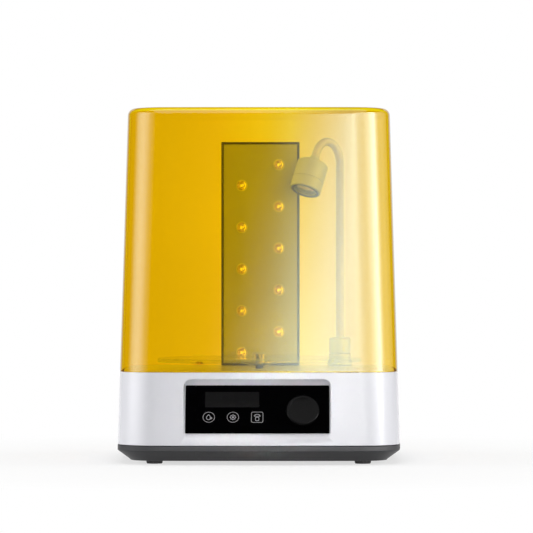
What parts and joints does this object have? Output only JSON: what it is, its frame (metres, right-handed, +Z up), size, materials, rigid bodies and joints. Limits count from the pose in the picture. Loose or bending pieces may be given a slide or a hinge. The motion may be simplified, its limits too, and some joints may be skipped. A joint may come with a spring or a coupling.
{
  "type": "wash and cure station",
  "caption": "Desktop wash and cure station for resin prints: amber lift-off cover, turntable, LED tower, gooseneck UV lamp, and a base with a sloping control panel and knob.",
  "frame": {"origin": "on the table, under the middle of the casing", "axes": "+Z up, -Y towards the front with the control panel, +X to the right seen from the front"},
  "size_m": [0.2646, 0.2404, 0.3277],
  "materials": {
    "amber_cover": "clear amber, glossy",
    "white_plastic": "satin",
    "dark_plastic": "fine texture",
    "grey_plastic": "satin",
    "black_gloss": "gloss",
    "rubber": "matte",
    "steel": "satin",
    "aluminium": "satin",
    "circuit_board": "solder mask",
    "clear_plastic": "clear, glossy",
    "magnet": "nickel plated"
  },
  "bodies": {
    "base": {"base_tray": "dark_plastic", "foot_front_left": "rubber", "foot_front_right": "rubber", "foot_rear_left": "rubber", "foot_rear_right": "rubber", "case_screw_1": "steel", "case_screw_2": "steel", "case_screw_3": "steel", "case_screw_4": "steel", "upper_housing": "white_plastic", "control_panel": "black_gloss", "display_module": "black_gloss", "control_board": "circuit_board", "encoder_body": "dark_plastic", "dc_inlet": "dark_plastic", "switch_frame": "dark_plastic", "main_board": "circuit_board", "cover_sensor": "circuit_board", "gear_motor": "steel", "motor_bracket": "steel", "spindle_bush": "dark_plastic", "tower_housing": "dark_plastic", "tower_face": "grey_plastic", "led_board": "aluminium", "uv_led_01": "clear_plastic", "uv_led_02": "clear_plastic", "uv_led_03": "clear_plastic", "uv_led_04": "clear_plastic", "uv_led_05": "clear_plastic", "uv_led_06": "clear_plastic", "uv_led_07": "clear_plastic", "uv_led_08": "clear_plastic", "uv_led_09": "clear_plastic", "uv_led_10": "clear_plastic", "lamp_foot": "dark_plastic", "lamp_socket": "dark_plastic", "neck_stub": "dark_plastic"},
    "cover": {"cover_shell": "amber_cover", "cover_magnet": "magnet"},
    "drive": {"drive_shaft": "steel", "magnet_rotor": "dark_plastic", "rotor_magnet_1": "magnet", "rotor_magnet_2": "magnet", "drive_spindle": "dark_plastic"},
    "turntable": {"turntable_plate": "clear_plastic", "turntable_hub": "clear_plastic"},
    "plunger": {"encoder_plunger": "steel"},
    "dial": {"encoder_shaft": "steel", "knob": "black_gloss"},
    "rocker": {"switch_rocker": "dark_plastic"},
    "neck_1": {"neck_link_1": "dark_plastic"},
    "neck_2": {"neck_link_2": "dark_plastic"},
    "neck_3": {"neck_link_3": "dark_plastic"},
    "neck_4": {"neck_link_4": "dark_plastic"},
    "neck_5": {"neck_link_5": "dark_plastic"},
    "lamp_head": {"lamp_head_shell": "aluminium", "lamp_head_ring": "dark_plastic", "lamp_reflector": "aluminium", "lamp_led_board": "circuit_board", "lamp_lens": "clear_plastic"}
  },
  "joints": [
    {"name": "cover_lift", "type": "slide", "parent": "base", "child": "cover", "axis": [0, 0, 1], "range_m": [0, 0.26]},
    {"name": "drive_spin", "type": "hinge", "parent": "base", "child": "drive", "pos_m": [0, -0.0165, 0.08], "axis": [0, 0, 1], "continuous": true},
    {"name": "turntable_lift", "type": "slide", "parent": "drive", "child": "turntable", "axis": [0, 0, 1], "range_m": [0, 0.03]},
    {"name": "knob_push", "type": "slide", "parent": "base", "child": "plunger", "axis": [0, -0.8572, 0.515], "range_m": [-0.0007, 0], "stiffness_N_per_m": 900},
    {"name": "knob_turn", "type": "hinge", "parent": "plunger", "child": "dial", "pos_m": [0.0407, -0.10629, 0.04709], "axis": [0, -0.8572, 0.515], "continuous": true},
    {"name": "power_switch", "type": "hinge", "parent": "base", "child": "rocker", "pos_m": [0.07, 0.1163, 0.045], "axis": [1, 0, 0], "range_deg": [0, 16]},
    {"name": "neck_bend_1", "type": "hinge", "parent": "base", "child": "neck_1", "pos_m": [0.077, 0.08, 0.122], "axis": [0.8131, -0.5821, 0], "range_deg": [-3, 12]},
    {"name": "neck_bend_2", "type": "hinge", "parent": "neck_1", "child": "neck_2", "pos_m": [0.077, 0.08, 0.175], "axis": [-0.5821, -0.8131, 0], "range_deg": [-8, 12]},
    {"name": "neck_bend_3", "type": "hinge", "parent": "neck_2", "child": "neck_3", "pos_m": [0.077, 0.08, 0.228], "axis": [0.8131, -0.5821, 0], "range_deg": [-5, 20]},
    {"name": "neck_twist", "type": "hinge", "parent": "neck_3", "child": "neck_4", "pos_m": [0.077, 0.08, 0.281], "axis": [0, 0, 1], "range_deg": [-20, 20]},
    {"name": "arch_bend", "type": "hinge", "parent": "neck_4", "child": "neck_5", "pos_m": [0.06763, 0.06691, 0.30142], "axis": [0.8131, -0.5821, 0], "range_deg": [-20, 15]},
    {"name": "head_tilt", "type": "hinge", "parent": "neck_5", "child": "lamp_head", "pos_m": [0.05388, 0.04771, 0.29053], "axis": [0.8131, -0.5821, 0], "range_deg": [-30, 25]}
  ]
}
